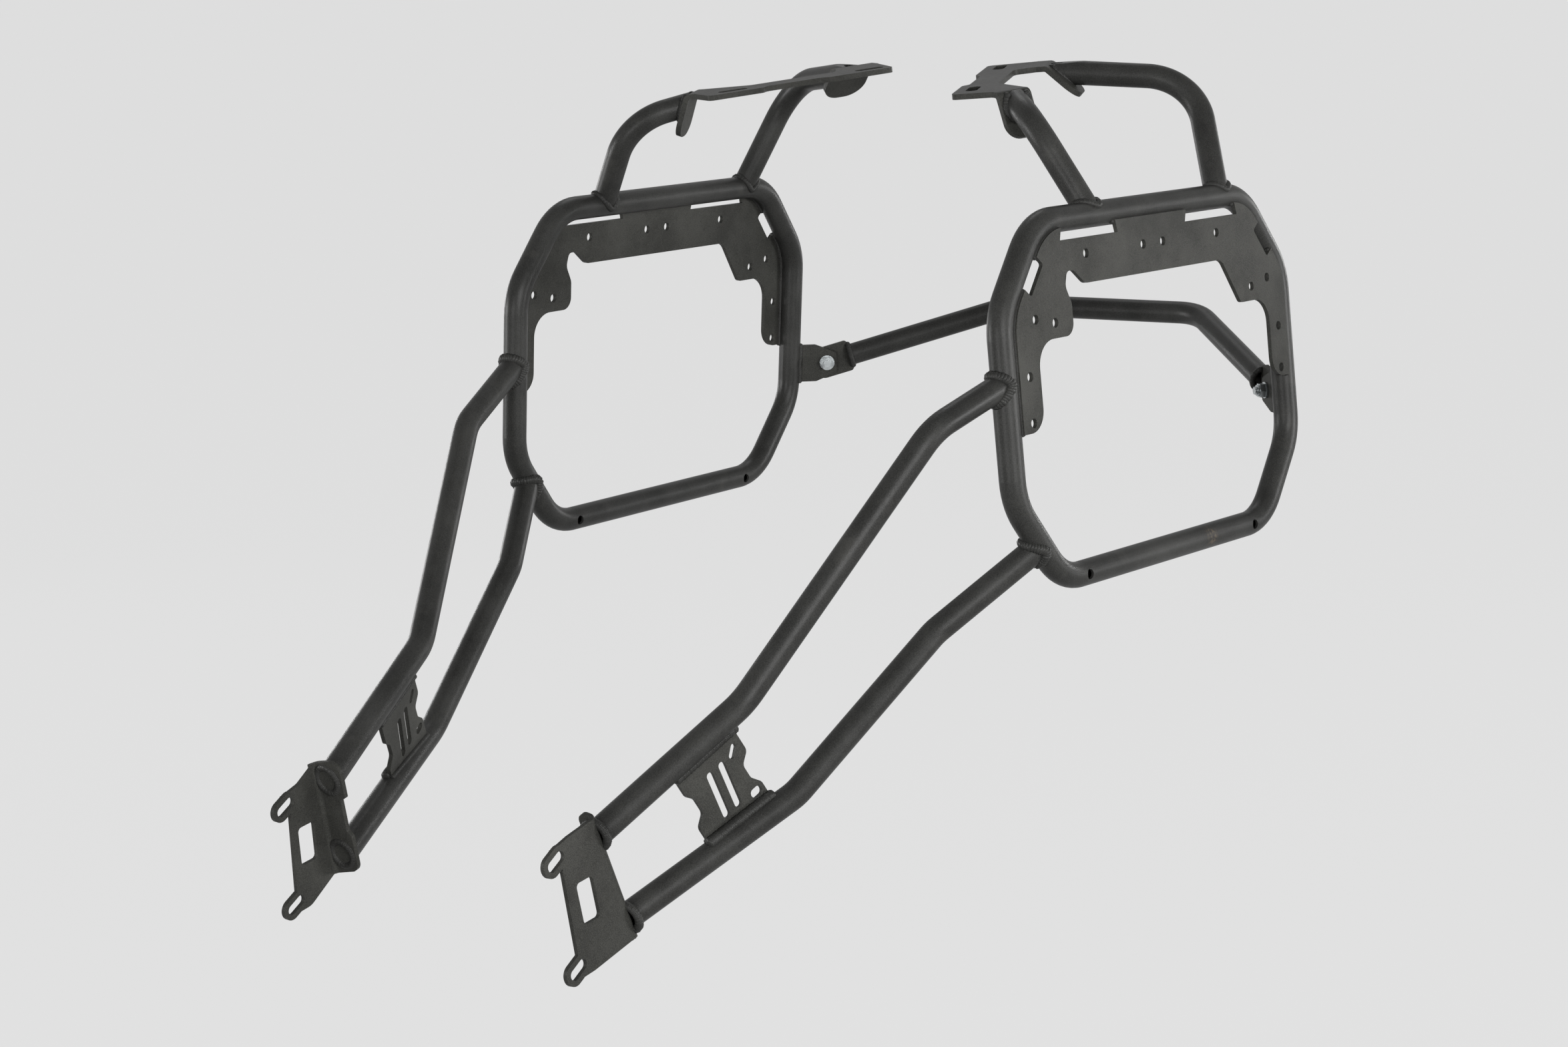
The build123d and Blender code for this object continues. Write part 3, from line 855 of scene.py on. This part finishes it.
@dataclass
class CrossBrace:
    """Bent tube behind, with its end plates and fasteners."""

    tube: str = "brace_tube"
    end_plate: str = "brace_end_plate"
    fasteners: tuple[str, ...] = ("brace_bolts", "brace_washers", "brace_nuts")
    bead_radius: float = 2.3 * MM
    ripple: float = 0.30
    reach: float = 8 * MM

    def dress(self, frame: dict, coats: dict[str, bpy.types.Material], zinc: bpy.types.Material) -> None:
        """Gives the brace and its fasteners their finishes.

        Args:
            frame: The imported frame.
            coats: Coats, with "sheet" and "tube" among them.
            zinc: Finish of the fasteners.
        """
        paint(frame["nodes"][self.tube], coats["tube"])
        for side in Side:
            paint(frame["nodes"][side.node(self.end_plate)], coats["sheet"])
        for name in self.fasteners:
            paint(frame["nodes"][name], zinc)

    def weld(self, finder: SeamFinder, bead: WeldBead) -> bpy.types.Object:
        """Lays the beads between the tube and its end plates.

        Args:
            finder: Reader of the solids.
            bead: The bead's tree.

        Returns:
            The beads.
        """
        lines = []
        for side in Side:
            lines += finder.ring(self.tube, side.node(self.end_plate), self.reach)
        mesh = bead.lay(lines, self.bead_radius, self.ripple * self.bead_radius)
        return add_piece("welds_brace", join_meshes("welds_brace", [mesh], bead.material))


@dataclass(frozen=True)
class Softbox:
    """A wide soft lamp; most of them stand about level with the frame."""

    name: str
    place: Triple
    power: float
    aim: Triple = (0.1, 0.0, 0.27)
    width: float = 1.1
    height: float = 0.45
    spread: float = radians(120)


@dataclass
class Studio:
    """Wide pale floor under an even sky of the same tone, soft lamps and the camera of the photograph."""

    floor_z: float = -0.30
    floor_half: float = 300.0
    background: Triple = (0.738, 0.738, 0.738)
    paper: Triple = (0.32, 0.32, 0.32)
    glow: float = 1.10
    glow_share: float = 0.9
    sky: float = 0.99
    ambient: float = 0.01
    eye: Triple = (1.31966, -1.70692, 0.59906)
    right: Triple = (0.79001, 0.61219, -0.03332)
    down: Triple = (0.08246, -0.15996, -0.98367)
    view: Triple = (-0.60752, 0.77436, -0.17685)
    lens: float = 69.03
    sensor: float = 36.0
    softboxes: tuple[Softbox, ...] = (
        Softbox("key_softbox", (2.685, -1.878, 1.260), 24.0),
        Softbox("right_softbox", (3.235, -1.267, 0.625), 36.0),
        Softbox("front_softbox", (0.690, -3.346, 0.389), 25.0),
        Softbox("left_softbox", (-2.843, -1.699, 0.389), 34.0),
        Softbox("left_rear_softbox", (-3.184, 0.880, 0.389), 6.0),
        Softbox("side_softbox", (3.043, 1.699, 0.389), 38.0),
        Softbox("rear_softbox", (0.689, 3.340, 0.507), 8.0),
        Softbox("back_softbox", (-1.246, 1.722, 2.875), 5.0),
    )

    def build(self) -> None:
        """Sets the stage, the light and the camera."""
        bpy.context.scene.view_settings.view_transform = "Standard"
        self.world()
        self.stage()
        for softbox in self.softboxes:
            self.lamp(softbox)
        self.camera()

    def world(self) -> None:
        """Even pale surroundings: plain to the eye, dimmer as a light."""
        world = bpy.data.worlds.new("studio")
        bpy.context.scene.world = world
        world.use_nodes = True
        graph = Graph(world.node_tree)
        shown = graph.math("MULTIPLY", self.seen(graph), self.sky - self.ambient)
        graph.feed(world.node_tree.nodes["Background"], {
            "Color": opaque(self.background), "Strength": graph.math("ADD", shown, self.ambient)})

    def seen(self, graph: Graph) -> Socket:
        """Mask of the rays that show the background: straight, mirrored or through glass.

        Args:
            graph: Graph of the world or of the floor's material.

        Returns:
            A socket that is 1 for those rays.
        """
        path = graph.add("ShaderNodeLightPath")
        mirrored = graph.math("MAXIMUM", path.outputs["Is Glossy Ray"], path.outputs["Is Transmission Ray"])
        return graph.math("MAXIMUM", path.outputs["Is Camera Ray"], mirrored)

    def stage(self) -> None:
        """Floor under the frame, which glows to the eye and keeps a faint shadow."""
        half, level = self.floor_half, self.floor_z
        corners = [(-half, -half, level), (half, -half, level), (half, half, level), (-half, half, level)]
        mesh = bpy.data.meshes.new("floor")
        mesh.from_pydata(corners, [], [(0, 1, 2, 3)])
        floor = bpy.data.objects.new("floor", mesh)
        bpy.context.scene.collection.objects.link(floor)
        material = bpy.data.materials.new("floor_paper")
        material.use_nodes = True
        graph = Graph(material.node_tree)
        nodes = material.node_tree.nodes
        nodes.remove(nodes["Principled BSDF"])
        paper = graph.add("ShaderNodeBsdfDiffuse", {"Color": opaque(self.paper)})
        glow = graph.add("ShaderNodeEmission", {"Color": opaque(self.background), "Strength": self.glow})
        share = graph.math("MULTIPLY", self.seen(graph), self.glow_share)
        mixed = graph.add("ShaderNodeMixShader", {0: share, 1: paper.outputs[0], 2: glow.outputs[0]})
        graph.feed(nodes["Material Output"], {"Surface": mixed.outputs[0]})
        mesh.materials.append(material)

    def lamp(self, softbox: Softbox) -> None:
        """Adds a soft lamp.

        Args:
            softbox: The lamp to add.
        """
        light = bpy.data.lights.new(softbox.name, "AREA")
        light.shape = "RECTANGLE"
        light.size = softbox.width
        light.size_y = softbox.height
        light.energy = softbox.power
        light.spread = softbox.spread
        lamp = bpy.data.objects.new(softbox.name, light)
        lamp.location = softbox.place
        way = Vector(softbox.aim) - Vector(softbox.place)
        lamp.rotation_euler = way.to_track_quat("-Z", "Y").to_euler()
        bpy.context.scene.collection.objects.link(lamp)

    def camera(self) -> None:
        """Places the camera as in the photograph."""
        lens = bpy.data.cameras.new("camera")
        lens.lens = self.lens
        lens.sensor_width = self.sensor
        lens.sensor_fit = "HORIZONTAL"
        camera = bpy.data.objects.new("camera", lens)
        axes = Matrix((self.right, [-part for part in self.down], [-part for part in self.view])).transposed()
        camera.matrix_world = Matrix.Translation(self.eye) @ axes.to_4x4()
        bpy.context.scene.collection.objects.link(camera)
        bpy.context.scene.camera = camera


def main() -> None:
    """Loads the frame, dresses it, lays the welds and sets the studio."""
    logging.basicConfig(level=logging.INFO, format="%(name)s %(message)s")
    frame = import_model()
    groups = FinishGroups()
    coats = {
        "tube": PowderCoat("tube_coat").build(groups),
        "sheet": PowderCoat("sheet_coat", colour=(0.018, 0.018, 0.0165), pale=(0.040, 0.040, 0.0365),
                            gloss=0.035, peel_scale=320.0, smudge=0.22).build(groups),
        "hoop_left": PowderCoat("rubbed_coat", rub_at=(0.2448, 0.1609, 0.1959)).build(groups),
    }
    weld_coat = PowderCoat("weld_coat", grit_scale=1900.0, smudge=0.12).build(groups)
    zinc = ZincPlate("zinc_plate").build(groups)
    finder = SeamFinder(frame["nodes"])
    bead = WeldBead(weld_coat)
    for side in Side:
        part = SideFrame(side)
        part.dress(frame, coats)
        part.weld(finder, bead)
    brace = CrossBrace()
    brace.dress(frame, coats, zinc)
    brace.weld(finder, bead)
    Studio().build()


if __name__ == "__main__":
    main()
